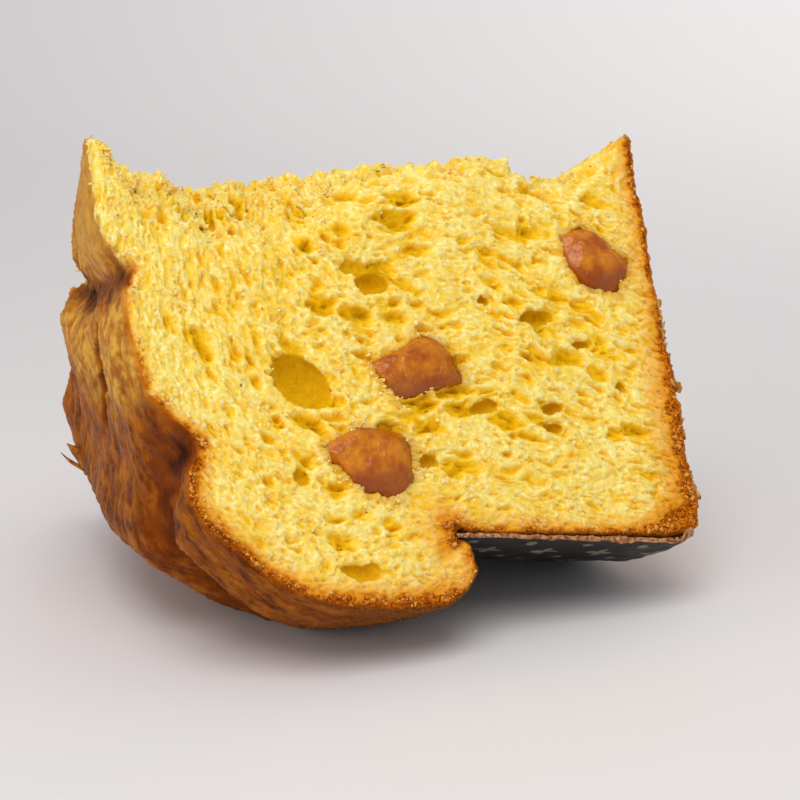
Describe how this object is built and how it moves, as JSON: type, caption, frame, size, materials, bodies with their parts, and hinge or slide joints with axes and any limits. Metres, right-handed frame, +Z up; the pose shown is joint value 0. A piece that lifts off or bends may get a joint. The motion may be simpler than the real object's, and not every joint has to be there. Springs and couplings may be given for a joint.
{
  "type": "panettone slice",
  "caption": "Torn wedge of tall sweet yeast bread lying on its side, with candied fruit pieces and a strip of its dark paper baking case.",
  "frame": {"origin": "middle of the wedge's bounding box, on the table it lies on", "axes": "+X along the loaf's axis towards its base, with the dome at -X; +Y away from the cut face in front; +Z up"},
  "size_m": [0.1258, 0.1132, 0.0975],
  "materials": {
    "crumb_and_crust": null,
    "printed_paper": "dark brown baking paper with small pale motifs and a kraft cut edge",
    "candied_fruit": null
  },
  "bodies": {
    "root": {"bread": "crumb_and_crust", "paper_case": "printed_paper", "candied_fruit_1": "candied_fruit", "candied_fruit_2": "candied_fruit", "candied_fruit_3": "candied_fruit", "candied_fruit_4": "candied_fruit", "candied_fruit_5": "candied_fruit"}
  },
  "joints": []
}
